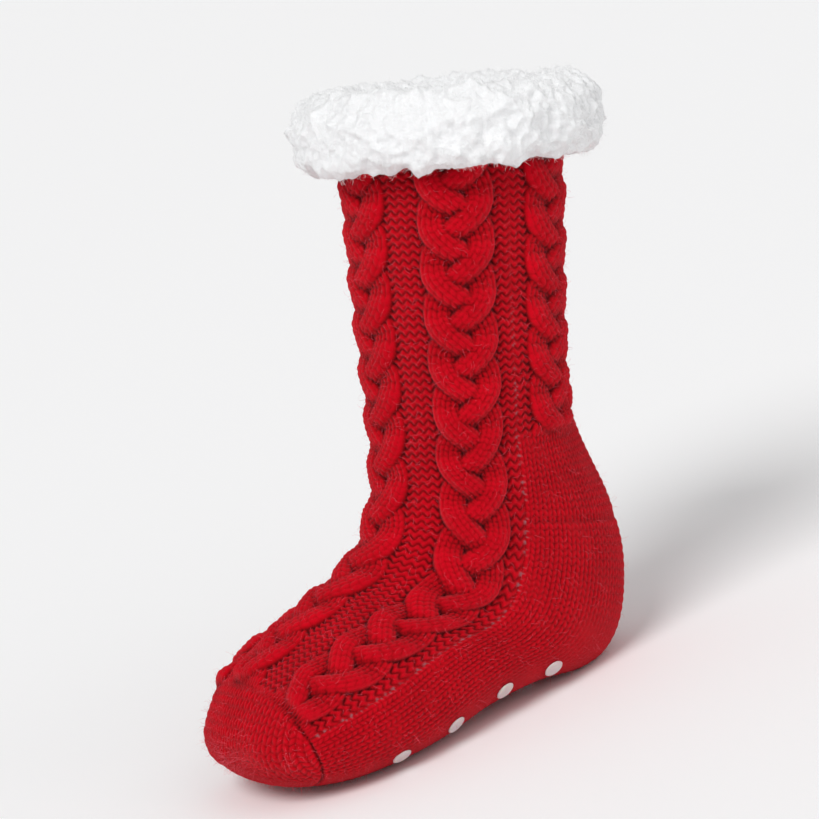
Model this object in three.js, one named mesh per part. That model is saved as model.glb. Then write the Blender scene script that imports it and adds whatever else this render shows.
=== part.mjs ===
// A knitted slipper sock: one cable-knit tube from collar to toe, a fleece lining turned over the
// collar as a deep cuff, and soft grip dots under the sole. Millimetres, +Z up, toe towards -Y.

import * as THREE from "three";

// Driving sizes
const footLength = 230; // back of the heel to the tip of the toe
const ballWidth = 109; // side to side at the ball of the foot
const heelWidth = 82; // side to side at the heel
const legWidth = 96; // side to side at the middle of the leg
const legDepth = 101; // shin to calf at the middle of the leg
const instepHeight = 106; // floor to the bend at the front of the ankle
const sockHeight = 272; // floor to the middle of the knit's top edge
const knitWall = 2.5; // thickness of the plain knit
const cableRelief = 3.6; // how far a plait stands above the knit between the plaits
const lobePitch = 22; // from one lobe to the next on the same side of a plait
const cuffThickness = 22; // fleece outside the knit
const cuffRise = 17.5; // fleece above the knit's top edge
const cuffDrop = 20; // fleece below it, outside
const cuffInside = 13; // fleece inside the collar
const [plaitsStart, plaitsFull] = [cuffDrop * 0.7, cuffDrop * 0.95]; // plaits rise under the cuff
const gripDiameter = 10;
const gripThickness = 1.2;
const gripRows = 9; // along the sole
const clearance = 0.3; // between pieces that meet

// Sections from the collar to the toe. Each is a flat ring through a back point (heel or sole) and
// a front point (shin or top of the foot).
// back: back point's distance from the back of the heel, a share of footLength
// run: how far the front point lies ahead of it
// frontUp, backUp: heights, 0 at the floor, 1 at the instep bend, 2 at the middle of the top edge
// width: side to side
const sections = [
  { back: -0.114, run: legDepth * 1.01, frontUp: 2.065, backUp: 1.935, width: legWidth * 1.1 },
  { back: -0.076, run: legDepth * 0.99, frontUp: 1.85, backUp: 1.72, width: legWidth * 1.05 },
  { back: -0.031, run: legDepth * 0.965, frontUp: 1.635, backUp: 1.505, width: legWidth },
  { back: 0.008, run: legDepth * 0.94, frontUp: 1.435, backUp: 1.31, width: legWidth * 0.96 },
  { back: 0.032, run: legDepth * 0.94, frontUp: 1.262, backUp: 1.168, width: heelWidth * 1.08 },
  { back: 0.036, run: legDepth * 0.975, frontUp: 1.151, backUp: 1.048, width: heelWidth * 1.05 },
  { back: 0.018, run: footLength * 0.465, frontUp: 1.067, backUp: 0.849, width: heelWidth * 1.02 },
  { back: 0, run: footLength * 0.509, frontUp: 1, backUp: 0.604, width: heelWidth },
  { back: 0.013, run: footLength * 0.53, frontUp: 0.901, backUp: 0.33, width: heelWidth },
  { back: 0.078, run: footLength * 0.507, frontUp: 0.83, backUp: 0.06, width: heelWidth * 1.01 },
  { back: 0.174, run: footLength * 0.457, frontUp: 0.783, backUp: -0.02, width: ballWidth * 0.8 },
  { back: 0.304, run: footLength * 0.374, frontUp: 0.745, backUp: 0.024, width: ballWidth * 0.86 },
  { back: 0.443, run: footLength * 0.285, frontUp: 0.708, backUp: 0.034, width: ballWidth * 0.93 },
  { back: 0.583, run: footLength * 0.197, frontUp: 0.67, backUp: -0.004, width: ballWidth * 0.985 },
  { back: 0.7, run: footLength * 0.13, frontUp: 0.626, backUp: -0.013, width: ballWidth },
  { back: 0.8, run: footLength * 0.078, frontUp: 0.58, backUp: -0.005, width: ballWidth * 0.955 },
  { back: 0.882, run: footLength * 0.04, frontUp: 0.519, backUp: 0.028, width: ballWidth * 0.85 },
  { back: 0.944, run: footLength * 0.014, frontUp: 0.439, backUp: 0.085, width: ballWidth * 0.675 },
  { back: 0.983, run: footLength * 0.004, frontUp: 0.353, backUp: 0.163, width: ballWidth * 0.44 },
  { back: 1, run: 0, frontUp: 0.255, backUp: 0.255, width: 0 },
];

// How the same sections' rings are drawn.
// widest: where the ring is widest, a share of the way from front to back
// flat: squareness of the back half, 2 for an ellipse
// top: share of the half girth that the plaited front takes, stretch: of the plaits' pitch
const outlines = [
  { widest: 0.5, flat: 2, top: 0.5, stretch: 1 },
  { widest: 0.5, flat: 2, top: 0.5, stretch: 1 },
  { widest: 0.5, flat: 2, top: 0.5, stretch: 1 },
  { widest: 0.5, flat: 2, top: 0.5, stretch: 1 },
  { widest: 0.5, flat: 2, top: 0.5, stretch: 1.02 },
  { widest: 0.5, flat: 2, top: 0.485, stretch: 1.05 },
  { widest: 0.5, flat: 2.05, top: 0.47, stretch: 1.08 },
  { widest: 0.51, flat: 2.1, top: 0.455, stretch: 1.1 },
  { widest: 0.52, flat: 2.2, top: 0.445, stretch: 1.12 },
  { widest: 0.54, flat: 2.35, top: 0.44, stretch: 1.14 },
  { widest: 0.56, flat: 2.5, top: 0.435, stretch: 1.15 },
  { widest: 0.57, flat: 2.6, top: 0.43, stretch: 1.15 },
  { widest: 0.57, flat: 2.7, top: 0.43, stretch: 1.15 },
  { widest: 0.57, flat: 2.75, top: 0.43, stretch: 1.15 },
  { widest: 0.57, flat: 2.7, top: 0.43, stretch: 1.15 },
  { widest: 0.56, flat: 2.6, top: 0.435, stretch: 1.15 },
  { widest: 0.54, flat: 2.4, top: 0.45, stretch: 1.15 },
  { widest: 0.52, flat: 2.2, top: 0.475, stretch: 1.15 },
  { widest: 0.5, flat: 2, top: 0.5, stretch: 1.15 },
  { widest: 0.5, flat: 2, top: 0.5, stretch: 1.15 },
];
const tip = sections.length - 1;
const backPlaitsEnd = 5.1; // section where the heel patch starts
const topPlaitsEnd = 15.9; // section where the toe cap starts
const plaitFade = 0.45; // sections over which a plait dies away

// The pattern repeats six times round the leg: a plait, then plain ribs between it and the next.
// Places round a ring are counted in repeats from the front centre, so the back centre is 3.
const halfRepeats = 3;
const plaitHalf = 0.35; // half a plait's width, in repeats
const plaitColumns = [-1, -0.62, -0.3, 0, 0.3, 0.62, 1]; // across half a plait's width
const strandSwing = 0.6; // of a strand's centre, in half plait widths
const strandHalf = 0.42; // half a strand's width, in half plait widths
const rowSpacing = 4.7; // between rings of the mesh on the front
const ringSamples = 72; // points that measure a ring's girth
const innerEvery = 4; // the smooth inside takes each fourth ring
const searchSteps = 30; // halvings in a search for a place on the surface
const heelShare = 0.12; // of the back line in the rings' spacing, the rest is the front line's
const seatHeight = gripThickness + clearance; // height of the sole's flat patches

const heightOf = (up) =>
  up <= 1 ? up * instepHeight : instepHeight + (up - 1) * (sockHeight - instepHeight);

// One column of a table at a fractional section number, on a smooth curve
function tableValue(table, column, s) {
  const i = Math.min(Math.floor(s), tip - 1);
  const t = s - i;
  const at = (k) => table[THREE.MathUtils.clamp(k, 0, tip)][column];
  const [a, b, c, d] = [at(i - 1), at(i), at(i + 1), at(i + 2)];
  const bend = 2 * a - 5 * b + 4 * c - d;
  return b + 0.5 * t * (c - a + t * (bend + t * (3 * (b - c) + d - a)));
}

// The ring at section s: takes a place in repeats and gives a point on the knit's plain surface
function ringAt(s) {
  const value = (column) => tableValue(sections, column, s);
  const drawn = (column) => tableValue(outlines, column, s);
  const backRun = value("back") * footLength;
  const run = value("run");
  const [frontZ, backZ] = [heightOf(value("frontUp")), heightOf(value("backUp"))];
  const halfWidth = Math.max(value("width"), 0) / 2;
  const [widest, flat, top] = [drawn("widest"), drawn("flat"), drawn("top")];
  const pointAt = (angle) => {
    const [along, across] = [Math.cos(angle), Math.abs(Math.sin(angle))];
    const power = along > 0 ? 1 : 2 / flat;
    const reach = Math.abs(along) ** power;
    const share = along > 0 ? widest * (1 - reach) : widest + (1 - widest) * reach;
    const y = -(backRun + run * (1 - share));
    const z = THREE.MathUtils.lerp(frontZ, backZ, share);
    return new THREE.Vector3(halfWidth * across ** power, y, Math.max(z, seatHeight));
  };
  const points = [];
  const walked = [0];
  for (let k = 0; k <= ringSamples; k++) {
    points.push(pointAt((Math.PI * k) / ringSamples));
    if (k) walked.push(walked[k - 1] + points[k].distanceTo(points[k - 1]));
  }
  const halfGirth = walked[ringSamples];
  return (place) => {
    const side = Math.abs(place);
    const half = halfRepeats / 2;
    const share = side < half ? (top * side) / half : top + ((1 - top) * (side - half)) / half;
    let k = walked.findIndex((w) => w >= share * halfGirth);
    k = Math.max(k < 0 ? ringSamples : k, 1);
    const t = (share * halfGirth - walked[k - 1]) / (walked[k] - walked[k - 1] || 1);
    const point = points[k - 1].clone().lerp(points[k], THREE.MathUtils.clamp(t, 0, 1));
    if (place < 0) point.x = -point.x;
    return point;
  };
}

const groundPoint = (s, place) => ringAt(s)(place);

// Outward direction of the plain surface, from neighbouring points
function outward(s, place) {
  const step = 0.04;
  const along = groundPoint(Math.min(s + step, tip), place).sub(groundPoint(Math.max(s - step, 0), place));
  const around = groundPoint(s, place + step).sub(groundPoint(s, place - step));
  return around.cross(along).normalize().negate();
}

// The plane of the knit's top edge, square to the leg
const collarFront = groundPoint(0, 0);
const collarRun = groundPoint(0, halfRepeats).sub(collarFront);
const collarUp = new THREE.Vector3(1, 0, 0).cross(collarRun).normalize();
const depthBelow = (point) => collarFront.clone().sub(point).dot(collarUp);

// Height of the plaits at a place, where phase counts lobes down the sock
function plaitHeight(s, place, phase) {
  const centre = Math.round(place);
  const end = Math.abs(centre) > 1 ? backPlaitsEnd : topPlaitsEnd;
  const fade = THREE.MathUtils.smoothstep(end - s, 0, plaitFade);
  const x = (place - centre) / plaitHalf;
  let height = 0;
  for (let strand = 0; strand < 3; strand++) {
    const turn = ((phase + strand) / 3) * 2 * Math.PI;
    const away = (x + strandSwing * Math.cos(turn)) / strandHalf;
    const lift = 0.74 + 0.26 * Math.sin(2 * turn);
    if (Math.abs(away) < 1) height = Math.max(height, Math.sqrt(1 - away * away) * lift);
  }
  return Math.abs(x) < 1 ? cableRelief * height * fade : 0;
}

// Section numbers of the mesh's rings, evenly spaced down the front and a little closer at the heel
function ringPlaces() {
  const steps = 600;
  const walked = [0];
  for (let k = 1; k <= steps; k++) {
    const [a, b] = [(tip * (k - 1)) / steps, (tip * k) / steps];
    const front = groundPoint(a, 0).distanceTo(groundPoint(b, 0));
    const back = groundPoint(a, halfRepeats).distanceTo(groundPoint(b, halfRepeats));
    walked.push(walked[k - 1] + (1 - heelShare) * front + heelShare * back);
  }
  const count = Math.round(walked[steps] / rowSpacing);
  const places = [];
  for (let i = 0; i < count; i++) {
    const k = walked.findIndex((w) => w >= (walked[steps] * i) / count);
    places.push((tip * k) / steps);
  }
  return places;
}

const rings = ringPlaces();
const columns = [];
for (let repeat = 1 - halfRepeats; repeat <= halfRepeats; repeat++) {
  for (const x of plaitColumns) columns.push(repeat + x * plaitHalf);
  columns.push(repeat + 0.5);
}

// A place counted past the back centre is on the other side
const wrapped = (place) => (place > halfRepeats ? place - 2 * halfRepeats : place);

function solid(name, points, faces, color, roughness) {
  const geometry = new THREE.BufferGeometry();
  geometry.setAttribute("position", new THREE.Float32BufferAttribute(points.flatMap((p) => [...p]), 3));
  geometry.setIndex(faces);
  geometry.computeVertexNormals();
  const mesh = new THREE.Mesh(geometry, new THREE.MeshStandardMaterial({ color, roughness, metalness: 0 }));
  mesh.name = name;
  return mesh;
}

// Joins ring a to ring b, each a run of the same count of points from a starting number
function band(faces, a, b, count) {
  for (let j = 0; j < count; j++) {
    const k = (j + 1) % count;
    faces.push(a + j, b + j, a + k, a + k, b + j, b + k);
  }
}

function fan(faces, ring, pole, count) {
  for (let j = 0; j < count; j++) faces.push(ring + j, pole, ring + ((j + 1) % count));
}

// Lobes counted from the collar to each ring, for each column's own plait
function lobePhases() {
  const phases = [columns.map(() => 0)];
  for (let i = 1; i < rings.length; i++) {
    const stretch = tableValue(outlines, "stretch", rings[i]);
    phases.push(
      columns.map((column, j) => {
        const plait = wrapped(Math.round(column));
        const walked = groundPoint(rings[i], plait).distanceTo(groundPoint(rings[i - 1], plait));
        return phases[i - 1][j] + walked / (lobePitch * stretch);
      }),
    );
  }
  return phases;
}

function knitUpper() {
  const points = [];
  const faces = [];
  const count = columns.length;
  const phases = lobePhases();
  rings.forEach((s, i) => {
    columns.forEach((column, j) => {
      const place = wrapped(column);
      const point = groundPoint(s, place);
      const underCuff = THREE.MathUtils.smoothstep(depthBelow(point), plaitsStart, plaitsFull);
      const height = plaitHeight(s, place, phases[i][j]) * underCuff;
      points.push(point.addScaledVector(outward(s, place), height));
    });
    if (i) band(faces, (i - 1) * count, i * count, count);
  });
  const toe = points.push(groundPoint(tip, 0)) - 1;
  fan(faces, (rings.length - 1) * count, toe, count);

  const insideRings = rings.filter((s, i) => i % innerEvery === 0 && s < tip - 0.7);
  const inside = points.length;
  for (const s of insideRings) {
    for (const column of columns) {
      const place = wrapped(column);
      const away = outward(s, place);
      if (s === 0) away.projectOnPlane(collarUp).normalize(); // the top edge is flat
      points.push(groundPoint(s, place).addScaledVector(away, -knitWall));
    }
  }
  const insideFaces = [];
  insideRings.forEach((s, i) => {
    if (i) band(insideFaces, inside + (i - 1) * count, inside + i * count, count);
  });
  const last = inside + (insideRings.length - 1) * count;
  const insideToe = points.push(groundPoint(tip, 0).add(new THREE.Vector3(0, knitWall, 0))) - 1;
  fan(insideFaces, last, insideToe, count);
  faces.push(...insideFaces.reverse());
  band(faces, inside, 0, count);
  return solid("knit_upper", points, faces, 0xc00014, 0.9);
}

// Section of the cuff, over the knit's top edge and down both sides.
// drop: below the top edge, out: outside the knit's outer face; lump: share of the fleece's lumps
const cuffSection = [
  { drop: -clearance, out: clearance, lump: 0 },
  { drop: cuffDrop * 0.52, out: clearance, lump: 0 },
  { drop: cuffDrop * 0.84, out: cableRelief + 3 * clearance, lump: 0 },
  { drop: cuffDrop, out: cuffThickness * 0.48, lump: 0.6 },
  { drop: cuffDrop * 0.84, out: cuffThickness * 0.86, lump: 1 },
  { drop: cuffDrop * 0.35, out: cuffThickness, lump: 1 },
  { drop: -cuffRise * 0.3, out: cuffThickness * 0.97, lump: 1 },
  { drop: -cuffRise * 0.82, out: cuffThickness * 0.64, lump: 1 },
  { drop: -cuffRise, out: cuffThickness * 0.15, lump: 1 },
  { drop: -cuffRise * 0.84, out: -cuffInside * 0.5, lump: 1 },
  { drop: -cuffRise * 0.3, out: -cuffInside * 0.95, lump: 0.8 },
  { drop: cuffDrop * 0.45, out: -cuffInside * 0.95, lump: 0.5 },
  { drop: cuffDrop * 0.72, out: -cuffInside * 0.6, lump: 0.2 },
  { drop: cuffDrop * 0.55, out: -knitWall - clearance, lump: 0 },
  { drop: -clearance, out: -knitWall - clearance, lump: 0 },
];
const lumpDepth = 2.2; // how far a lump of the fleece stands out

// Height of the fleece's lumps at a turn round the collar, on a row of the section
function lumps(turn, row) {
  const wide = Math.sin(9 * turn + 1.3 * row) * Math.cos(5 * turn - 0.8 * row);
  const small = Math.sin(16 * turn - 1.9 * row + 0.6);
  return lumpDepth * (0.6 * wide + 0.45 * small);
}

// Section number this far below the top edge at the sock's side
function sectionBelow(drop) {
  let [low, high] = [0, 1];
  for (let k = 0; k < searchSteps; k++) {
    const middle = (low + high) / 2;
    if (depthBelow(groundPoint(middle, halfRepeats / 2)) < drop) low = middle;
    else high = middle;
  }
  return low;
}

function fleeceCuff() {
  const points = [];
  const faces = [];
  const count = columns.length;
  const rows = cuffSection.length;
  cuffSection.forEach(({ drop, out, lump }, row) => {
    const s = sectionBelow(drop);
    const [before, after] = [cuffSection[(row + rows - 1) % rows], cuffSection[(row + 1) % rows]];
    const swell = new THREE.Vector2(after.drop - before.drop, before.out - after.out).normalize();
    columns.forEach((column, j) => {
      const place = wrapped(column);
      const point = groundPoint(s, place).addScaledVector(collarUp, Math.max(-drop, 0));
      const away = outward(s, place).projectOnPlane(collarUp).normalize();
      const height = lump * lumps((j / count) * 2 * Math.PI, row);
      point.addScaledVector(away, out - swell.x * height);
      points.push(point.addScaledVector(collarUp, swell.y * height));
    });
    band(faces, ((row + rows - 1) % rows) * count, row * count, count);
  });
  return solid("fleece_cuff", points, faces.reverse(), 0xf5f7fa, 1);
}

// Section number where the sole's centre line has walked a distance from the heel's lowest point
function soleSection(distance) {
  const steps = 900;
  const sectionAt = (k) => soleStart + ((tip - soleStart) * k) / steps;
  let walked = 0;
  for (let k = 1; k <= steps; k++) {
    const [a, b] = [sectionAt(k - 1), sectionAt(k)];
    walked += groundPoint(a, halfRepeats).distanceTo(groundPoint(b, halfRepeats));
    if (walked >= distance) return b;
  }
  return tip;
}

// Place round the ring, on the sole's side, where it is this far out from the centre
function solePlace(s, out) {
  let [low, high] = [halfRepeats / 2, halfRepeats];
  for (let k = 0; k < searchSteps; k++) {
    const middle = (low + high) / 2;
    if (groundPoint(s, middle).x > Math.abs(out)) low = middle;
    else high = middle;
  }
  return out < 0 ? -low : low;
}

const gripPairOut = 0.25; // of the two inner grips in a row, a share of the sole's half width
const gripEdgeOut = 0.86; // of the two outer grips
const [firstRow, lastRow] = [footLength * 0.1, footLength * 0.709]; // of the grips, along the sole
const soleStart = 9; // section whose back point is the heel's lowest

// Rows of two inner grips and rows of a middle grip with two at the sole's edges take turns
function soleGrips() {
  const grips = new THREE.Group();
  const geometry = new THREE.CylinderGeometry(gripDiameter / 2, gripDiameter / 2, gripThickness, 8);
  let number = 1;
  for (let row = 0; row < gripRows; row++) {
    const s = soleSection(THREE.MathUtils.lerp(firstRow, lastRow, row / (gripRows - 1)));
    const halfWidth = tableValue(sections, "width", s) / 2;
    const pair = row % 2 === 0;
    for (const share of pair ? [-gripPairOut, gripPairOut] : [-gripEdgeOut, 0, gripEdgeOut]) {
      const place = share ? solePlace(s, share * halfWidth) : halfRepeats;
      const down = outward(s, place);
      const grip = new THREE.Mesh(
        geometry,
        new THREE.MeshStandardMaterial({ color: 0xe9dcdc, roughness: 0.35, metalness: 0 }),
      );
      grip.name = "sole_grip_" + String(number++).padStart(2, "0");
      grip.quaternion.setFromUnitVectors(new THREE.Vector3(0, 1, 0), down);
      grip.position.copy(groundPoint(s, place)).addScaledVector(down, clearance + gripThickness / 2);
      grips.add(grip);
    }
  }
  return grips;
}

// The sock stands on z = 0 with the middle of its whole length over the origin
const sock = new THREE.Group();
sock.add(knitUpper(), fleeceCuff(), soleGrips());
const extent = new THREE.Box3().setFromObject(sock, true);
sock.position.y = -(extent.min.y + extent.max.y) / 2;
const slipperSock = new THREE.Group();
slipperSock.add(sock);

export default slipperSock;
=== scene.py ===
import math
import bmesh
import bpy
import numpy as np
from mathutils import Matrix, Vector, noise


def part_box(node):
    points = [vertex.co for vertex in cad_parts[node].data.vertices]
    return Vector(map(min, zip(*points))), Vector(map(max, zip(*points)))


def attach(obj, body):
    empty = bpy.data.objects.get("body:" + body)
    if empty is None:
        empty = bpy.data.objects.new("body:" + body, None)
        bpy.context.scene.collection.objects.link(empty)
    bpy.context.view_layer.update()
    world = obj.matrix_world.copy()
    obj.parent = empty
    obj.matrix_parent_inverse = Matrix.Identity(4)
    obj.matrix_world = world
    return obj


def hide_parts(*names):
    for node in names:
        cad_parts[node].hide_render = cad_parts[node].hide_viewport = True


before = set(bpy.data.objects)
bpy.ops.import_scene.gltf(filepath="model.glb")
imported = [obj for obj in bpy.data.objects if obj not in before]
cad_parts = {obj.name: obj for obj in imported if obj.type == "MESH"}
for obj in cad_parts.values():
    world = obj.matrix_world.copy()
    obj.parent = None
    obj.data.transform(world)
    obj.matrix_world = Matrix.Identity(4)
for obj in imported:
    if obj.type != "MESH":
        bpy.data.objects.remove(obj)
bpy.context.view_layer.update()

mm = 0.001
weld = 0.02 * mm  # points closer than this are merged
noise.seed_set(5)  # the fleece's tufts wander the same way on each run

# Driving sizes, in millimetres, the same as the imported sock's
sock = {
    "footLength": 230, "ballWidth": 109, "heelWidth": 82, "legWidth": 96, "legDepth": 101,
    "instepHeight": 106, "sockHeight": 272,
    "soleRest": 1.5, "softEdge": 0.35,  # the sole's flat patches above the floor, and their rims
}
length, ball, heel = sock["footLength"], sock["ballWidth"], sock["heelWidth"]
legWidth, legDepth = sock["legWidth"], sock["legDepth"]

# Sections from collar to toe: back point along the foot, run to the front point, heights of both
# (0 floor, 1 instep, 2 middle of the top edge), width, where widest, squareness of the back half,
# share of the half girth under the plaited front, stretch of the plaits' pitch
sectionRows = [
    (-0.114, legDepth * 1.01, 2.065, 1.935, legWidth * 1.1, 0.5, 2, 0.5, 1),
    (-0.076, legDepth * 0.99, 1.85, 1.72, legWidth * 1.05, 0.5, 2, 0.5, 1),
    (-0.031, legDepth * 0.965, 1.635, 1.505, legWidth, 0.5, 2, 0.5, 1),
    (0.008, legDepth * 0.94, 1.435, 1.31, legWidth * 0.96, 0.5, 2, 0.5, 1),
    (0.032, legDepth * 0.94, 1.262, 1.168, heel * 1.08, 0.5, 2, 0.5, 1.02),
    (0.036, legDepth * 0.975, 1.151, 1.048, heel * 1.05, 0.5, 2, 0.485, 1.05),
    (0.018, length * 0.465, 1.067, 0.849, heel * 1.02, 0.5, 2.05, 0.47, 1.08),
    (0, length * 0.509, 1, 0.604, heel, 0.51, 2.1, 0.455, 1.1),
    (0.013, length * 0.53, 0.901, 0.33, heel, 0.52, 2.2, 0.445, 1.12),
    (0.078, length * 0.507, 0.83, 0.06, heel * 1.01, 0.54, 2.35, 0.44, 1.14),
    (0.174, length * 0.457, 0.783, -0.02, ball * 0.8, 0.56, 2.5, 0.435, 1.15),
    (0.304, length * 0.374, 0.745, 0.024, ball * 0.86, 0.57, 2.6, 0.43, 1.15),
    (0.443, length * 0.285, 0.708, 0.034, ball * 0.93, 0.57, 2.7, 0.43, 1.15),
    (0.583, length * 0.197, 0.67, -0.004, ball * 0.985, 0.57, 2.75, 0.43, 1.15),
    (0.7, length * 0.13, 0.626, -0.013, ball, 0.57, 2.7, 0.43, 1.15),
    (0.8, length * 0.078, 0.58, -0.005, ball * 0.955, 0.56, 2.6, 0.435, 1.15),
    (0.882, length * 0.04, 0.519, 0.028, ball * 0.85, 0.54, 2.4, 0.45, 1.15),
    (0.944, length * 0.014, 0.439, 0.085, ball * 0.675, 0.52, 2.2, 0.475, 1.15),
    (0.983, length * 0.004, 0.353, 0.163, ball * 0.44, 0.5, 2, 0.5, 1.15),
    (1, 0, 0.255, 0.255, 0, 0.5, 2, 0.5, 1.15),
]
columnNames = ["back", "run", "frontUp", "backUp", "width", "widest", "flat", "top", "stretch"]
sectionTable = {name: np.array([row[i] for row in sectionRows], float) for i, name in enumerate(columnNames)}
tip = len(sectionRows) - 1
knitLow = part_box("knit_upper")[0]
heelY = knitLow[1] / mm + length  # the toe's tip is the knit's lowest Y

# Places round the sock: 0 is the middle of the front, 1.5 the side and 3 the middle of the back.
# One repeat of the pattern, a plait with half a purl panel on each side, is one place wide
sidePlace, backPlace = 1.5, 3
topLine, soleLine = 0.75, 2.25  # the knitted rows are even along the lines at these places

# A lattice of the plain knit's surface: rows along the sock by places round its half ring
latticeRows, latticePlaces, ringAngles = 1200, 240, 120
latticeSections = np.linspace(0, tip, latticeRows + 1)


def cubicThrough(a, b, c, d, t):
    # from b to c as t runs 0 to 1, smooth with the points before and after
    return b + 0.5 * t * (c - a + t * (2 * a - 5 * b + 4 * c - d + t * (3 * (b - c) + d - a)))


def tableAt(name, s):
    column = sectionTable[name]
    i = np.minimum(np.floor(s).astype(int), tip - 1)
    a, b, c, d = [column[np.clip(i + k, 0, tip)] for k in (-1, 0, 1, 2)]
    return cubicThrough(a, b, c, d, s - i)


def heightOf(up):
    instep, top = sock["instepHeight"], sock["sockHeight"]
    return np.where(up <= 1, up * instep, instep + (up - 1) * (top - instep))


def smoothstep(x, low, high):
    t = np.clip((x - low) / (high - low), 0, 1)
    return t * t * (3 - 2 * t)


def atLeast(low, t):
    # low where t is 0, and 1 where t is 1
    return low + (1 - low) * t


def nearLine(x, line, half):
    # 1 on a line, 0 at half its width away
    return np.clip(1 - np.abs(x - line) / half, 0, 1)


def lengthAlong(points):
    return np.concatenate([[0], np.cumsum(np.linalg.norm(np.diff(points, axis=0), axis=1))])


def makeLattice():
    angle = np.linspace(0, np.pi, ringAngles + 1)
    along, across = np.cos(angle), np.abs(np.sin(angle))
    place = np.linspace(0, backPlace, latticePlaces + 1)
    rest, soft = sock["soleRest"], sock["softEdge"]
    grid = np.zeros((latticeRows + 1, latticePlaces + 1, 3))
    for k, section in enumerate(latticeSections):
        one = {name: float(tableAt(name, np.array([section]))[0]) for name in columnNames}
        power = np.where(along > 0, 1, 2 / one["flat"])
        reach = np.abs(along) ** power
        share = np.where(along > 0, one["widest"] * (1 - reach), one["widest"] + (1 - one["widest"]) * reach)
        frontZ, backZ = heightOf(one["frontUp"]), heightOf(one["backUp"])
        x = max(one["width"], 0) / 2 * across ** power
        y = -(one["back"] * length + one["run"] * (1 - share))
        z = frontZ + (backZ - frontZ) * share
        z = rest + np.logaddexp(0, (z - rest) / soft) * soft  # flat where it would sink into the floor
        points = np.stack([x, y, z], 1)
        walked = lengthAlong(points)
        top = one["top"]
        onTop, onBack = top * place / sidePlace, top + (1 - top) * (place - sidePlace) / sidePlace
        share = np.where(place < sidePlace, onTop, onBack)
        for axis in range(3):
            grid[k, :, axis] = np.interp(share * walked[-1], walked, points[:, axis])
    return np.concatenate([grid[:, :0:-1] * [-1, 1, 1], grid], axis=1)


lattice = makeLattice()
print("surface lattice", lattice.shape)


def placeFromBack(p):
    return (p + backPlace) % (2 * backPlace)


def latticeIndex(s):
    return np.clip(s / tip * latticeRows, 0, latticeRows)


def sample(grid, s, p):
    i = np.clip(s / tip * latticeRows, 0, latticeRows - 1e-6)
    j = np.clip(placeFromBack(p) / (2 * backPlace) * 2 * latticePlaces, 0, 2 * latticePlaces - 1e-6)
    i0, j0 = i.astype(int), j.astype(int)
    ti, tj = (i - i0)[..., None], (j - j0)[..., None]
    near = grid[i0, j0] * (1 - tj) + grid[i0, j0 + 1] * tj
    far = grid[i0 + 1, j0] * (1 - tj) + grid[i0 + 1, j0 + 1] * tj
    return near * (1 - ti) + far * ti


def makeNormals():
    down = np.gradient(lattice, axis=0)
    around = np.gradient(lattice, axis=1)
    around[:, 0] = around[:, -1] = (lattice[:, 1] - lattice[:, -2]) / 2
    normal = np.cross(down, around)
    size = np.linalg.norm(normal, axis=2, keepdims=True)
    normal = np.where(size > 1e-9, normal / np.maximum(size, 1e-9), [0, -1, 0])
    normal[-3:] = [0, -1, 0]  # the toe's tip
    front = sample(normal, np.array([2.0]), np.array([0.0]))[0]
    return -normal if front[1] > 0 else normal


normals = makeNormals()


def surface(s, p, out=0.0):
    normal = sample(normals, s, p)
    normal = normal / np.linalg.norm(normal, axis=-1, keepdims=True)
    return sample(lattice, s, p) + normal * np.asarray(out)[..., None]


# The plane of the knit's top edge, square to the leg
collarFront, collarBack = lattice[0, latticePlaces], lattice[0, 0]
collarUp = np.cross([1, 0, 0], collarBack - collarFront)
collarUp /= np.linalg.norm(collarUp)


def depthBelow(points):
    return (collarFront - points) @ collarUp


def walkedAlong(p):
    return lengthAlong(sample(lattice, latticeSections, np.full(latticeRows + 1, float(p))))


def repeatWidth(s, p):
    # how far one repeat reaches round the ring at a place, in millimetres
    step = 0.05
    here = np.full(s.shape, float(p))
    across = sample(lattice, s, here + step) - sample(lattice, s, here - step)
    return np.linalg.norm(across, axis=-1) / (2 * step)


# Plain and purl stitches. Depths and heights are in millimetres, the rest in shares of a stitch
stitch = {
    "perRepeat": 12, "rowHeight": 3.8, "slant": 0.6, "depth": 1.15, "ground": 0.35,
    "legHalf": 0.52, "beadHalf": 0.505, "betweenBeads": 0.12,
    "wander": 0.05, "sideWander": 0.04, "depthWander": 0.12,
    "purlStitches": 3, "purlDepth": 1.35, "purlSink": 0.35,
    "purlWave": 0.24, "purlRound": 0.75, "purlDip": 0.14,
    "columnSamples": 8, "rowSamples": 5, "columnWidth": 0.55,
}

# Three-strand plaits: half is in places, the rest in millimetres on a plait fullHalf wide, or shares
plait = {
    "half": 0.35, "fullHalf": 19.2, "lobePitch": 22, "swing": 0.6, "relief": 4.3, "lowest": 0.34,
    "strandHalf": 7.6, "strandStitches": 3, "strandDepth": 1.15, "strandSlant": 0.45, "longer": 1.22,
    "backEnd": 5.1, "topEnd": 15.9, "fade": 0.42,  # the sections where the plaits end
}

# The heel's turn, the toe cap and the trodden sole. Sections and places are numbers as above
heelTurn = {"section": 7.1, "half": 0.12, "depth": 0.6, "sides": (1.5, 1.65), "shift": 0.5}
toeCap = {
    "section": 16.0, "half": 0.09, "depth": 1.2, "sides": (1.1, 1.3),
    "stitchWidth": 4.6, "radius": 28, "centre": (192, 27),
}
trodden = {"sides": (1.95, 2.2), "sections": (8.3, 9.3), "flatter": 0.6}


def phaseAlong(p):
    pitch = plait["lobePitch"] * tableAt("stretch", latticeSections[1:])
    return np.concatenate([[0], np.cumsum(np.diff(walkedAlong(p)) / pitch)])


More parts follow.
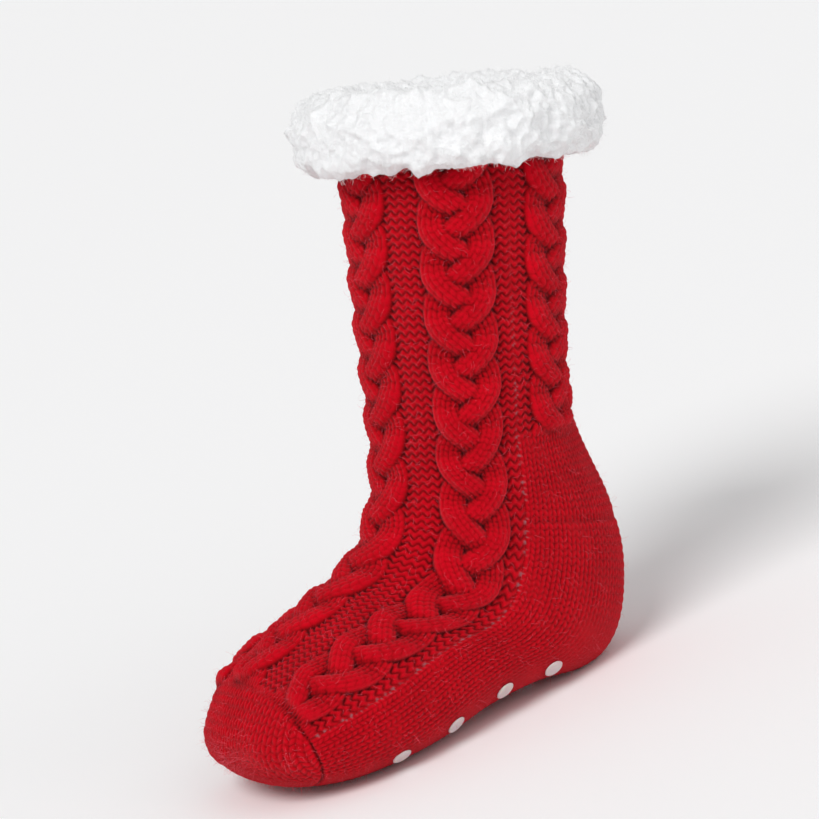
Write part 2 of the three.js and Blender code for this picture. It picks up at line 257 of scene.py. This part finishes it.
steps = np.arange(latticeRows + 1)
courseTop = walkedAlong(topLine) / stitch["rowHeight"]
courseSole = walkedAlong(soleLine) / stitch["rowHeight"]
plaitPhase = [phaseAlong(centre) for centre in (0, 1, 2, 3)]


def rounded(x, reach):
    # height of a round yarn, 1 on its crown at 0 and 0 at the reach
    return np.sqrt(np.clip(1 - (x / reach) ** 2, 0, 1))


def veeHeight(u, v, slant):
    # one plain stitch: two slanting legs of yarn, 0 in the grooves and 1 on a leg's crown
    a = np.abs((u % 1) - 0.5) * 2
    bead = rounded((v + slant * a) % 1 - 0.5, stitch["beadHalf"])
    return rounded(a - 0.5, stitch["legHalf"]) * atLeast(stitch["betweenBeads"], bead)


def unevenness(s, p):
    # small slow waves that keep the rows from being ruled
    return np.sin(7.3 * p + 2.1 * s) * np.cos(3.7 * s - 4.1 * p) + 0.6 * np.sin(15.1 * p - 5.3 * s + 1)


def purlHeight(q, course):
    # q runs 0 to 1 across a panel of purl stitches
    turn = 2 * np.pi * stitch["purlStitches"] * q
    ridge = 0.5 + 0.5 * np.cos(2 * np.pi * (course + stitch["purlWave"] * np.cos(turn)))
    dip = stitch["purlDip"]
    return ridge ** stitch["purlRound"] * (1 - dip + dip * np.cos(2 * turn))


def plaitHeight(s, p, centre):
    # the three strands of a plait: height over the ground, and the stitch on the upper strand
    phase = np.interp(latticeIndex(s), steps, plaitPhase[abs(centre)])
    pitch = plait["lobePitch"] * tableAt("stretch", s)
    halfWidth = repeatWidth(s, centre) * plait["half"]
    x = (p - centre) / plait["half"]
    best, bestU, bestV = [np.full(s.shape, -1.0) for k in range(3)]
    for k in range(3):
        turn = (phase + k) / 3 * 2 * np.pi
        slope = plait["swing"] * np.sin(turn) * (2 * np.pi / 3) * halfWidth / pitch
        cosine = 1 / np.sqrt(1 + slope ** 2)
        away = (x + plait["swing"] * np.cos(turn)) * halfWidth
        across = away * cosine / (plait["strandHalf"] * halfWidth / plait["fullHalf"])
        over = smoothstep(0.5 + 0.5 * np.sin(2 * turn - 0.25), 0.05, 0.85)  # 1 where the strand is on top
        body = np.clip(1 - np.abs(across) ** 2.2, 0, 1) ** 0.58  # the strand's round back
        u = (across + 1) / 2 * plait["strandStitches"]
        v = ((phase + k) * pitch * plait["longer"] + away * slope * cosine) / stitch["rowHeight"]
        yarn = veeHeight(u, v, plait["strandSlant"]) * np.clip(body * 1.6, 0, 1)
        height = plait["relief"] * body * atLeast(plait["lowest"], over) + plait["strandDepth"] * yarn
        better = (height > best) & (np.abs(across) < 1)
        best = np.where(better, height, best)
        bestU = np.where(better, u, bestU)
        bestV = np.where(better, v, bestV)
    return best, bestU, bestV


def plainHeight(s, place, course, uneven):
    # the heel's, the sole's and the toe cap's plain stitches, with the grooves where they turn
    side = np.abs(place)
    u = place * stitch["perRepeat"] + stitch["sideWander"] * uneven
    u = np.where((s > heelTurn["section"]) & (side > sidePlace), u + heelTurn["shift"], u)
    point = sample(lattice, s, place)
    ahead, up = -point[..., 1] - toeCap["centre"][0], point[..., 2] - toeCap["centre"][1]
    overToe = np.arctan2(ahead, up) * toeCap["radius"] / stitch["rowHeight"]
    onToe = s > toeCap["section"]
    u = np.where(onToe, point[..., 0] / toeCap["stitchWidth"], u)
    v = np.where(onToe, overToe + stitch["wander"] * uneven, course)
    vee = veeHeight(u, v, stitch["slant"])
    height = stitch["ground"] + stitch["depth"] * (1 + stitch["depthWander"] * uneven) * vee
    worn = smoothstep(side, *trodden["sides"]) * smoothstep(s, *trodden["sections"])
    height = height * (1 - trodden["flatter"] * worn)
    for turn in (heelTurn, toeCap):
        groove = nearLine(s, turn["section"], turn["half"]) * smoothstep(side, *turn["sides"])
        height = height - turn["depth"] * groove
    return height, u, v


def knitHeight(s, p):
    # height over the plain ground, and the stitch coordinates
    place = placeFromBack(p) - backPlace
    index = latticeIndex(s)
    onTop = np.abs(place) <= sidePlace
    course = np.where(onTop, np.interp(index, steps, courseTop), np.interp(index, steps, courseSole))
    uneven = unevenness(s, p)
    course = course + stitch["wander"] * uneven
    height, u, v = plainHeight(s, place, course, uneven)
    for centre in range(-backPlace, backPlace + 1):
        end = plait["backEnd"] if abs(centre) > 1 else plait["topEnd"]
        fade = smoothstep(end - s, 0, plait["fade"])
        mine = (np.abs(place - centre) <= 0.5) & (fade > 0)
        if not mine.any():
            continue
        strand, strandU, strandV = plaitHeight(s, place, centre)
        q = (np.abs(place - centre) - plait["half"]) / (1 - 2 * plait["half"])
        panel = purlHeight(0.5 + np.where(place > centre, q, -q), course)
        purl = stitch["purlDepth"] * panel - stitch["purlSink"]
        upper = strand > np.maximum(purl, 0)
        pattern = np.where(upper, strand, purl)
        height = np.where(mine, pattern * fade + height * (1 - fade), height)
        u = np.where(mine & upper, strandU, u)
        v = np.where(mine & upper, strandV, v)
    return height, u, v


def soften(grid, rowReach, columnReach):
    # running mean over a window, with the edges repeated
    for axis, reach in ((0, rowReach), (1, columnReach)):
        padded = np.pad(grid, [(reach + 1, reach) if k == axis else (0, 0) for k in (0, 1)], mode="edge")
        total = np.cumsum(padded, axis=axis)
        size = 2 * reach + 1
        high = np.take(total, range(size, total.shape[axis]), axis=axis)
        low = np.take(total, range(total.shape[axis] - size), axis=axis)
        grid = (high - low) / size
    return grid


def gridMesh(columns, rows):
    bm = bmesh.new()
    bmesh.ops.create_grid(bm, x_segments=columns, y_segments=rows, size=1, calc_uvs=False)
    flat = np.array([vertex.co[:2] for vertex in bm.verts])
    column = np.rint((flat[:, 0] + 1) / 2 * columns).astype(int)
    row = np.rint((flat[:, 1] + 1) / 2 * rows).astype(int)
    return bm, column, row


def placeVertices(bm, points):
    for vertex, point in zip(bm.verts, points * mm):
        vertex.co = (point[0], point[1] + heelY * mm, point[2])


def closeSkin(bm):
    bmesh.ops.remove_doubles(bm, verts=bm.verts, dist=weld)
    bmesh.ops.holes_fill(bm, edges=[edge for edge in bm.edges if edge.is_boundary])
    bmesh.ops.recalc_face_normals(bm, faces=bm.faces)


def finishMesh(bm, name, material, smooth=True):
    mesh = bpy.data.meshes.new(name)
    bm.to_mesh(mesh)
    bm.free()
    obj = bpy.data.objects.new(name, mesh)
    bpy.context.scene.collection.objects.link(obj)
    mesh.materials.append(material)
    mesh.polygons.foreach_set("use_smooth", [smooth] * len(mesh.polygons))
    mesh.update()
    print(name, sum(len(face.vertices) - 2 for face in mesh.polygons), "triangles")
    return obj


def sectionsEvenly(fromS, toS, p, spacing):
    # section numbers spaced evenly along the line at place p
    walked = walkedAlong(p)
    start, stop = np.interp([fromS, toS], latticeSections, walked)
    count = int(round((stop - start) / spacing))
    return np.interp(np.linspace(start, stop, count + 1), walked, latticeSections)


# Where the tube is cut into pieces, where its relief is held down, and how much painted shade its grooves get
tube = {
    "ankle": 5, "heelEnd": 9.5,
    "seamWidth": 0.03, "seamShare": 0.3, "noSeam": (15.8, 16.1),
    "underCuff": (12, 19), "underShare": 0.25,
    "shadeWindows": (1.3, 4.5), "level": 0.62, "shadeWeights": (0.62, 0.13),
}
# Pale pinholes beside the purl panels at the side: half width in places, sections, gaps in the row
pinhole = {"half": 0.03, "fadeIn": (1, 4), "last": 15.8, "sharp": 2.2, "small": 0.9, "gaps": (-0.9, 0.7)}


def knitShade(height, v, s, p, spacing):
    # how far each point stands out of the grooves, 0 to 1, for painted shade, and how much of a pinhole it is
    widths = spacing, stitch["columnWidth"] * coarse
    fine, broad = [[max(1, round(size / width)) for width in widths] for size in tube["shadeWindows"]]
    hollowShade = soften(soften(height, *fine), *fine) - height
    valley = soften(soften(height, *broad), *broad) - height
    groove = np.clip(tube["level"] - tube["shadeWeights"][0] * hollowShade - tube["shadeWeights"][1] * valley, 0, 1)
    beside = nearLine(np.abs(placeFromBack(p) - backPlace), sidePlace, pinhole["half"])
    dot = np.clip(pinhole["sharp"] * np.cos(2 * np.pi * v) - pinhole["small"], 0, 1)
    kept = smoothstep(np.sin(v * 2.1) + np.sin(s * 5.3), *pinhole["gaps"])
    hole = beside * dot * kept * smoothstep(s, *pinhole["fadeIn"]) * (s < pinhole["last"])
    return groove, hole


def addLayers(mesh, layers, stitchPlaces):
    # point attributes, and the stitch coordinates as a UV map
    for name, values in layers.items():
        mesh.attributes.new(name, "FLOAT", "POINT").data.foreach_set("value", values)
    corners = np.zeros(len(mesh.loops), int)
    mesh.loops.foreach_get("vertex_index", corners)
    mesh.uv_layers.new(name="stitch").data.foreach_set("uv", stitchPlaces[corners].ravel())


def faceOutwards(mesh, facing):
    middle = mesh.polygons[len(mesh.polygons) // 2]
    if middle.normal.dot(Vector(facing[middle.vertices[0]])) < 0:
        mesh.flip_normals()


def knitTube(pieces, firstPlace, line):
    # half of the tube, three repeats wide, cut across into pieces of (name, last section)
    columns = 3 * stitch["perRepeat"] * stitch["columnSamples"] // coarse
    spacing = stitch["rowHeight"] / stitch["rowSamples"] * coarse
    rowSections = np.minimum(sectionsEvenly(0, tip, line, spacing), tip - 1e-4)
    s, p = np.meshgrid(rowSections, firstPlace + np.linspace(0, 3, columns + 1), indexing="ij")
    height, u, v = knitHeight(s, p)
    seam = smoothstep(np.minimum(p - firstPlace, firstPlace + 3 - p), 0, tube["seamWidth"])
    seam = np.maximum(seam, smoothstep(s, *tube["noSeam"]))
    under = smoothstep(depthBelow(sample(lattice, s, p)), *tube["underCuff"])
    height = height * atLeast(tube["seamShare"], seam) * atLeast(tube["underShare"], under)
    # groove sets the painted shade in the grooves and the painted light on the crowns
    groove, hole = knitShade(height, v, s, p, spacing)
    where, facing = surface(s, p, height), sample(normals, s, p)
    made = []
    first = 0
    for name, lastSection in pieces:
        last = int(np.searchsorted(rowSections, lastSection - 0.001))
        bm, column, row = gridMesh(columns, last - first)
        at = row + first, column
        placeVertices(bm, where[at])
        obj = finishMesh(bm, name, redYarn)
        addLayers(obj.data, {"groove": groove[at], "hole": hole[at]}, np.stack([u[at], v[at]], 1))
        faceOutwards(obj.data, facing[at])
        made.append(obj)
        first = last
    return made


# Materials
def setSockets(node, sockets):
    for key, value in sockets.items():
        node.inputs[key].default_value = value


def shaderNode(tree, kind, location, sockets={}, **values):
    node = tree.nodes.new(kind)
    node.location = location
    for key, value in values.items():
        setattr(node, key, value)
    setSockets(node, sockets)
    return node


def rampNode(tree, location, stops):
    # a colour ramp through (position, colour) stops
    ramp = shaderNode(tree, "ShaderNodeValToRGB", location)
    first, last = ramp.color_ramp.elements
    first.position, first.color = stops[0]
    last.position, last.color = stops[-1]
    for position, colour in stops[1:-1]:
        ramp.color_ramp.elements.new(position).color = colour
    return ramp


def wire(tree, *links):
    for source, output, target, socket in links:
        tree.links.new(source.outputs[output], target.inputs[socket])


def newMaterial(name):
    material = bpy.data.materials.new(name)
    material.use_nodes = True
    return material, material.node_tree, material.node_tree.nodes["Principled BSDF"]


# the darkest colour is painted shade in the grooves, and the crown colour is painted light on the yarn's crowns
redKnit = {
    "shadedGap": (0.09, 0.0, 0.001, 1), "yarn": (0.5, 0.0, 0.006, 1), "crown": (0.68, 0.0, 0.011, 1),
    "patch": (0.55, 0.5, 0.5, 1), "patchShare": 0.35, "patchScale": 55,
    "pinhole": (0.34, 0.15, 0.17, 1), "strays": (0.78, 0.1, 0.14, 1),
    "fibreScale": 1900, "plyScale": (9, 3, 1), "plyTurn": 0.5, "bump": 0.6, "bumpDepth": 0.0004,
    "roughness": 0.8, "sheen": 0.22, "sheenTint": (1.0, 0.26, 0.3, 1),
}


def makeRedKnit():
    material, tree, shader = newMaterial("red_knit_yarn")
    coords = shaderNode(tree, "ShaderNodeTexCoord", (-1300, -200))
    # the groove layer runs the colour from painted shade in the grooves to painted light on the crowns
    groove = shaderNode(tree, "ShaderNodeAttribute", (-900, 200), attribute_name="groove")
    hole = shaderNode(tree, "ShaderNodeAttribute", (-650, 400), attribute_name="hole")
    shades = [(0, redKnit["shadedGap"]), (0.55, redKnit["yarn"]), (0.95, redKnit["crown"])]
    ramp = rampNode(tree, (-650, 200), shades)
    patches = shaderNode(tree, "ShaderNodeTexNoise", (-900, -50), {"Scale": redKnit["patchScale"], "Detail": 4})
    patchRamp = rampNode(tree, (-650, -50), [(0.3, redKnit["patch"]), (0.7, (1, 1, 1, 1))])
    vary = shaderNode(
        tree, "ShaderNodeMix", (-350, 200), {"Factor": redKnit["patchShare"]},
        data_type="RGBA", blend_type="MULTIPLY",
    )
    dots = shaderNode(tree, "ShaderNodeMix", (-100, 200), {7: redKnit["pinhole"]}, data_type="RGBA")
    fibres = shaderNode(tree, "ShaderNodeTexNoise", (-900, -350), {"Scale": redKnit["fibreScale"], "Detail": 3})
    uv = shaderNode(tree, "ShaderNodeUVMap", (-1500, -600), uv_map="stitch")
    stretched = {"Scale": redKnit["plyScale"], "Rotation": (0, 0, redKnit["plyTurn"])}
    stretch = shaderNode(tree, "ShaderNodeMapping", (-1200, -600), stretched)
    plies = shaderNode(tree, "ShaderNodeTexWave", (-900, -600), {"Scale": 1.0, "Distortion": 2.5, "Detail": 2})
    addUp = shaderNode(tree, "ShaderNodeMath", (-600, -450), {1: 0.5}, operation="MULTIPLY_ADD")
    depths = {"Strength": redKnit["bump"], "Distance": redKnit["bumpDepth"]}
    bump = shaderNode(tree, "ShaderNodeBump", (-300, -400), depths)
    wire(
        tree,
        (coords, "Object", patches, "Vector"), (coords, "Object", fibres, "Vector"),
        (groove, "Fac", ramp, "Fac"), (patches, "Fac", patchRamp, "Fac"),
        (ramp, "Color", vary, 6), (patchRamp, "Color", vary, 7),
        (vary, 2, dots, 6), (hole, "Fac", dots, "Factor"), (dots, 2, shader, "Base Color"),
        (uv, "UV", stretch, "Vector"), (stretch, "Vector", plies, "Vector"),
        (plies, "Fac", addUp, 0), (fibres, "Fac", addUp, 2),
        (addUp, "Value", bump, "Height"), (bump, "Normal", shader, "Normal"),
    )
    setSockets(shader, {
        "Roughness": redKnit["roughness"], "Specular IOR Level": 0.08,
        "Sheen Weight": redKnit["sheen"], "Sheen Roughness": 0.45, "Sheen Tint": redKnit["sheenTint"],
    })
    return material


# the hollow colour is painted shade in the pile's hollows, a little darker than the white pile
fleece = {
    "pile": (0.97, 0.975, 0.985, 1), "hollowShade": (0.9215, 0.92625, 0.93575, 1),
    "strays": (0.98, 0.98, 0.985, 1),
    "curlScale": 520, "grainScale": 2200, "grainShare": 0.35, "bump": 0.6, "bumpDepth": 0.0016,
    "roughness": 0.95, "glow": 0.2, "glowReach": 0.004, "sheen": 0.5,
}


def makeFleece():
    material, tree, shader = newMaterial("white_fleece_pile")
    coords = shaderNode(tree, "ShaderNodeTexCoord", (-1200, 0))
    curled = {"Scale": fleece["curlScale"], "Detail": 7, "Distortion": 2.6}
    curls = shaderNode(tree, "ShaderNodeTexNoise", (-900, 0), curled)
    grain = shaderNode(tree, "ShaderNodeTexNoise", (-900, -300), {"Scale": fleece["grainScale"], "Detail": 3})
    # low curls get painted shade and high curls the pile's own white
    ramp = rampNode(tree, (-600, 100), [(0.3, fleece["hollowShade"]), (0.6, fleece["pile"])])
    mixed = {1: fleece["grainShare"]}
    both = shaderNode(tree, "ShaderNodeMath", (-600, -200), mixed, operation="MULTIPLY_ADD")
    depths = {"Strength": fleece["bump"], "Distance": fleece["bumpDepth"]}
    bump = shaderNode(tree, "ShaderNodeBump", (-300, -200), depths)
    wire(
        tree,
        (coords, "Object", curls, "Vector"), (coords, "Object", grain, "Vector"),
        (curls, "Fac", ramp, "Fac"), (ramp, "Color", shader, "Base Color"),
        (grain, "Fac", both, 0), (curls, "Fac", both, 2),
        (both, "Value", bump, "Height"), (bump, "Normal", shader, "Normal"),
    )
    setSockets(shader, {
        "Roughness": fleece["roughness"], "Specular IOR Level": 0.15,
        "Subsurface Weight": fleece["glow"], "Subsurface Radius": (1.0, 0.95, 0.95),
        "Subsurface Scale": fleece["glowReach"], "Sheen Weight": fleece["sheen"], "Sheen Roughness": 0.5,
    })
    return material


def makeStrays(name, colour):
    material, tree, shader = newMaterial(name)
    setSockets(shader, {"Base Color": colour, "Roughness": 0.7, "Specular IOR Level": 0.1})
    return material


clouded = {
    "dull": (0.78, 0.62, 0.62, 1), "clear": (0.9, 0.84, 0.83, 1), "scale": 260,
    "roughness": 0.3, "through": 0.25,
}


def makeSilicone():
    material, tree, shader = newMaterial("cloudy_silicone")
    coords = shaderNode(tree, "ShaderNodeTexCoord", (-900, 0))
    cloud = shaderNode(tree, "ShaderNodeTexNoise", (-700, 0), {"Scale": clouded["scale"]})
    ramp = rampNode(tree, (-450, 0), [(0, clouded["dull"]), (1, clouded["clear"])])
    bump = shaderNode(tree, "ShaderNodeBump", (-300, -250), {"Strength": 0.2, "Distance": 0.0003})
    wire(
        tree,
        (coords, "Object", cloud, "Vector"), (cloud, "Fac", ramp, "Fac"), (ramp, "Color", shader, "Base Color"),
        (cloud, "Fac", bump, "Height"), (bump, "Normal", shader, "Normal"),
    )
    setSockets(shader, {
        "Roughness": clouded["roughness"], "Transmission Weight": clouded["through"],
        "Subsurface Weight": 0.3, "Subsurface Scale": 0.002,
    })
    return material


# Camera first: the photo's angle, with the whole sock in the frame
view = {"azimuth": 62, "elevation": 13, "roll": 16, "distance": 1.7, "lens": 157, "aim": (0.0, 0.004, 0.147)}


def makeCamera():
    azimuth, elevation = math.radians(view["azimuth"]), math.radians(view["elevation"])
    level = math.cos(elevation)
    away = Vector((math.sin(azimuth) * level, -math.cos(azimuth) * level, math.sin(elevation)))
    camera = bpy.data.objects.new("camera", bpy.data.cameras.new("camera"))
    bpy.context.scene.collection.objects.link(camera)
    camera.data.lens = view["lens"]
    turn = (-away).to_track_quat("-Z", "Y").to_matrix().to_4x4()
    roll = Matrix.Rotation(math.radians(-view["roll"]), 4, "Z")
    camera.matrix_world = Matrix.Translation(Vector(view["aim"]) + away * view["distance"]) @ turn @ roll
    bpy.context.scene.camera = camera
    print("camera")


makeCamera()
bpy.context.scene.view_settings.view_transform = "Standard"
coarse = 1
redYarn = makeRedKnit()
whiteFleece = makeFleece()
silicone = makeSilicone()

ankle = tube["ankle"]
knitPieces = knitTube([("knit_leg_front", ankle), ("knit_foot_top", tip)], -sidePlace, topLine)
backPieces = [("knit_leg_back", ankle), ("knit_heel", tube["heelEnd"]), ("knit_sole", tip)]
knitPieces += knitTube(backPieces, sidePlace, soleLine)
for piece in knitPieces:
    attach(piece, "root")
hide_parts("knit_upper")

# The fleece turned over the collar, and the sizes of its lumps and tufts
cuff = {
    "drop": 20, "rise": 17.5, "thickness": 22, "inside": 13, "clear": 0.3, "innerFace": -2.8,
    "around": 560, "profile": 140, "lumps": (2.0, 2.5, 1.4), "ragged": 3.0,
}
drop, rise, thick, inside = cuff["drop"], cuff["rise"], cuff["thickness"], cuff["inside"]
# drop below the knit's top edge, distance out from its outer face, share of the lumps
cuffRows = [
    (-cuff["clear"], cuff["clear"], 0), (drop * 0.52, cuff["clear"], 0), (drop * 0.84, 4.5, 0.3),
    (drop, thick * 0.48, 0.8), (drop * 0.84, thick * 0.86, 1), (drop * 0.35, thick, 1),
    (-rise * 0.3, thick * 0.97, 1), (-rise * 0.82, thick * 0.64, 1), (-rise, thick * 0.15, 1),
    (-rise * 0.84, -inside * 0.5, 1), (-rise * 0.3, -inside * 0.95, 1), (drop * 0.45, -inside * 0.95, 1),
    (drop * 0.72, -inside * 0.6, 0.6), (drop * 0.55, cuff["innerFace"], 0),
    (-cuff["clear"], cuff["innerFace"], 0),
]
# how many to a metre the pile's lumps, tufts and curls are, and how far they wander
pile = {"lumps": 75, "tufts": 125, "curls": 290, "shift": 160, "wander": 0.35}


def closedCurve(rows, count):
    # an even smooth loop through the rows
    rows = np.array(rows, float)
    n = len(rows)
    t = np.linspace(0, n, 40 * n, endpoint=False)
    i = t.astype(int)
    a, b, c, d = [rows[(i + k) % n] for k in (-1, 0, 1, 2)]
    curve = cubicThrough(a, b, c, d, (t - i)[:, None])
    closed = np.vstack([curve, curve[:1]])
    walked = lengthAlong(closed[:, :2])
    at = np.linspace(0, walked[-1], count + 1)
    return np.stack([np.interp(at, walked, closed[:, k]) for k in range(3)], 1)


def fleeceLumps(point, lump, curl, grain):
    shift = noise.noise_vector(point * pile["shift"]) * pile["wander"]
    tufts = 1 - min(noise.voronoi(point * pile["tufts"] + shift)[0][0], 1) ** 2 * 1.6
    curls = 1 - min(noise.voronoi(point * pile["curls"] + shift * 2)[0][0], 1) ** 2 * 1.6
    return lump * noise.noise(point * pile["lumps"]) + curl * (tufts - 0.5) + grain * (curls - 0.5)


def makeCuff():
    around, profile = cuff["around"] // coarse, cuff["profile"] // coarse
    loop = closedCurve(cuffRows, profile)
    slope = np.gradient(loop[:, :2], axis=0)
    slope[0] = slope[-1] = (loop[1, :2] - loop[-2, :2]) / 2
    slope /= np.linalg.norm(slope, axis=1, keepdims=True)
    bm, column, row = gridMesh(around, profile)
    p = -backPlace + 2 * backPlace * column / around
    down, out, share = loop[row].T
    legLine = slice(0, latticeRows // 8)  # the leg's top eighth, down its side
    sideLine = lattice[legLine, latticePlaces * 3 // 2]
    s = np.interp(down, depthBelow(sideLine), latticeSections[legLine])
    normal = sample(normals, s, p)
    normal -= (normal @ collarUp)[:, None] * collarUp
    normal /= np.linalg.norm(normal, axis=1, keepdims=True)
    first = sample(lattice, s, p) + normal * out[:, None] + collarUp * np.maximum(-down, 0)[:, None]
    swell = np.array([fleeceLumps(Vector(point) * mm, *cuff["lumps"]) for point in first])
    swell *= np.clip(share, 0, 1)
    ragged = cuff["ragged"] * np.array([noise.noise(Vector(point) * 0.11) for point in first])
    lowerEdge = smoothstep(down, 8, 18) * smoothstep(out, 5, 9)
    lift = slope[row, 1] * swell - lowerEdge * ragged
    placeVertices(bm, first + normal * (slope[row, 0] * swell)[:, None] + collarUp * lift[:, None])
    closeSkin(bm)
    return finishMesh(bm, "fleece_cuff_pile", whiteFleece)


cuffPile = makeCuff()
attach(cuffPile, "root")
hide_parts("fleece_cuff")

# The lining inside the knit, from under the cuff to the toe: distances from the knit's outer face
lining = {
    "outer": -2.7, "inner": -8.0, "around": 110, "rows": 120, "edge": 5,
    "firstS": 0.28, "lastS": 18.2, "lumps": (1.2, 1.0, 0.3),
}


def makeLining():
    rows, edge, outer, inner = lining["rows"], lining["edge"], lining["outer"], lining["inner"]
    down = sectionsEvenly(lining["firstS"], lining["lastS"], sidePlace, 1.0)
    down = np.interp(np.linspace(0, len(down) - 1, rows + 1), np.arange(len(down)), down)
    order = np.concatenate([down[::-1], [down[0]] * edge, down])
    across = np.linspace(outer, inner, edge + 2)[1:-1]
    depth = np.concatenate([[outer] * (rows + 1), across, [inner] * (rows + 1)])
    bm, column, row = gridMesh(lining["around"], len(order) - 1)
    s, p, out = order[row], -backPlace + 2 * backPlace * column / lining["around"], depth[row]
    swell = np.array([fleeceLumps(Vector(point) * mm, *lining["lumps"]) for point in surface(s, p, out)])
    placeVertices(bm, surface(s, p, out - swell * smoothstep(-out, 4, 7.5)))
    closeSkin(bm)
    return finishMesh(bm, "fleece_lining", whiteFleece)


liningPile = makeLining()
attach(liningPile, "root")

# Stray fibres: how many, their least and greatest length and their width in millimetres
fuzz = {
    "yarn": {"count": 5200, "least": 1.6, "most": 5.5, "width": 0.12, "bend": 0.3, "seed": 3},
    "fleece": {"count": 11000, "least": 1.4, "most": 4.0, "width": 0.19, "bend": 0.7, "seed": 8},
    "tilt": (0.1, 1.2), "parts": 3, "taper": 0.7, "overFloor": 0.1,
}


def rootsOn(grown):
    # the vertices of the pieces given, and their normals
    roots, away = [], []
    for obj in grown:
        layers = (roots, obj.data.vertices, "co"), (away, obj.data.vertex_normals, "vector")
        for kept, source, key in layers:
            values = np.zeros(len(source) * 3)
            source.foreach_get(key, values)
            kept.append(values.reshape(-1, 3))
    return np.concatenate(roots), np.concatenate(away)


def makeFibres(name, grown, fibre, material):
    # thin bent ribbons that stand on the pieces given
    roots, away = rootsOn(grown)
    count = fibre["count"] // coarse
    rng = np.random.default_rng(fibre["seed"])
    pick = rng.choice(len(roots), count, replace=False)
    roots, away = roots[pick], away[pick]
    side = np.cross(away, rng.normal(size=(count, 3)))
    side /= np.linalg.norm(side, axis=1, keepdims=True)
    along = np.cross(side, away)
    size = rng.uniform(fibre["least"], fibre["most"], (count, 1)) * mm
    tilt = rng.uniform(*fuzz["tilt"], (count, 1))
    bend = rng.normal(0, fibre["bend"], (count, 1))
    end = along * np.cos(tilt) + away * np.sin(tilt)
    middle = along * 0.3 + away * 0.45 + side * bend
    bm, column, row = gridMesh(2 * count - 1, fuzz["parts"])
    which, t = column // 2, (row / fuzz["parts"])[:, None]
    points = roots[which] + size[which] * (2 * t * (1 - t) * middle[which] + t ** 2 * end[which])
    width = fibre["width"] * mm * (1 - fuzz["taper"] * t)
    points += side[which] * ((column % 2 - 0.5)[:, None] * width)
    points[:, 2] = np.maximum(points[:, 2], fuzz["overFloor"] * mm)
    bm.verts.index_update()
    between = [face for face in bm.faces if min(column[vertex.index] for vertex in face.verts) % 2]
    for vertex, point in zip(bm.verts, points):
        vertex.co = point
    bmesh.ops.delete(bm, geom=between, context="FACES")
    obj = finishMesh(bm, name, material)
    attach(obj, "root")
    return obj


paleRed = makeStrays("pale_red_fibres", redKnit["strays"])
strayYarn = makeFibres("stray_yarn_fibres", knitPieces, fuzz["yarn"], paleRed)
softWhite = makeStrays("white_fibres", fleece["strays"])
strayPile = makeFibres("stray_pile_fibres", [cuffPile], fuzz["fleece"], softWhite)

# Silicone grip dots under the sole: a ball squashed to the crown, cut flat at half the thickness
gripNodes = sorted(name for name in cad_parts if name.startswith("sole_grip"))
grip = {"diameter": 10, "crown": 1.0, "half": 0.6, "rings": 5, "sides": 20}


def makeGrips():
    bm = bmesh.new()
    reach, crown, half = grip["diameter"] / 2 * mm, grip["crown"] * mm, grip["half"] * mm
    for name in gripNodes:
        corners = np.array([vertex.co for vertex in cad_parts[name].data.vertices])
        centre = corners.mean(0)
        flat = np.linalg.svd(corners - centre, full_matrices=False)[2][2]  # the dot's thin direction
        if flat[2] > 0:
            flat = -flat
        made = bmesh.ops.create_uvsphere(bm, u_segments=grip["sides"], v_segments=grip["rings"] * 2, radius=1)
        bmesh.ops.transform(bm, matrix=Matrix.Diagonal((reach, reach, crown, 1)), verts=made["verts"])
        for vertex in made["verts"]:
            vertex.co.z = max(-half, min(vertex.co.z, half))
        turn = Vector((0, 0, -1)).rotation_difference(Vector(flat)).to_matrix().to_4x4()
        bmesh.ops.transform(bm, matrix=Matrix.Translation(Vector(centre)) @ turn, verts=made["verts"])
    bmesh.ops.recalc_face_normals(bm, faces=bm.faces)
    return finishMesh(bm, "sole_grip_dots", silicone)


gripDots = makeGrips()
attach(gripDots, "root")
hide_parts(*gripNodes)

# Floor and soft studio light
studio = {
    "floor": (0.98, 0.98, 0.985, 1), "floorHalf": 6, "world": 0.45,
    "key": {"from": (0.55, -0.9, 1.15), "strength": 1.75, "spread": 0.5},
    "fill": {"from": (1.4, 0.5, 0.6), "strength": 0.6, "spread": 1.2},
}


def makeStudio():
    bm = bmesh.new()
    bmesh.ops.create_grid(bm, x_segments=1, y_segments=1, size=studio["floorHalf"])
    material, tree, shader = newMaterial("pale_floor")
    setSockets(shader, {"Base Color": studio["floor"], "Roughness": 0.8})
    floor = finishMesh(bm, "floor", material, smooth=False)
    world = bpy.data.worlds.new("studio")
    bpy.context.scene.world = world
    world.use_nodes = True
    setSockets(world.node_tree.nodes["Background"], {"Color": (1, 1, 1, 1), "Strength": studio["world"]})
    for name in ("key", "fill"):
        lamp = bpy.data.lights.new(name, "SUN")
        lamp.energy = studio[name]["strength"]
        lamp.angle = studio[name]["spread"]
        obj = bpy.data.objects.new(name, lamp)
        obj.rotation_euler = (-Vector(studio[name]["from"])).to_track_quat("-Z", "Y").to_euler()
        bpy.context.scene.collection.objects.link(obj)
    print("studio")


makeStudio()
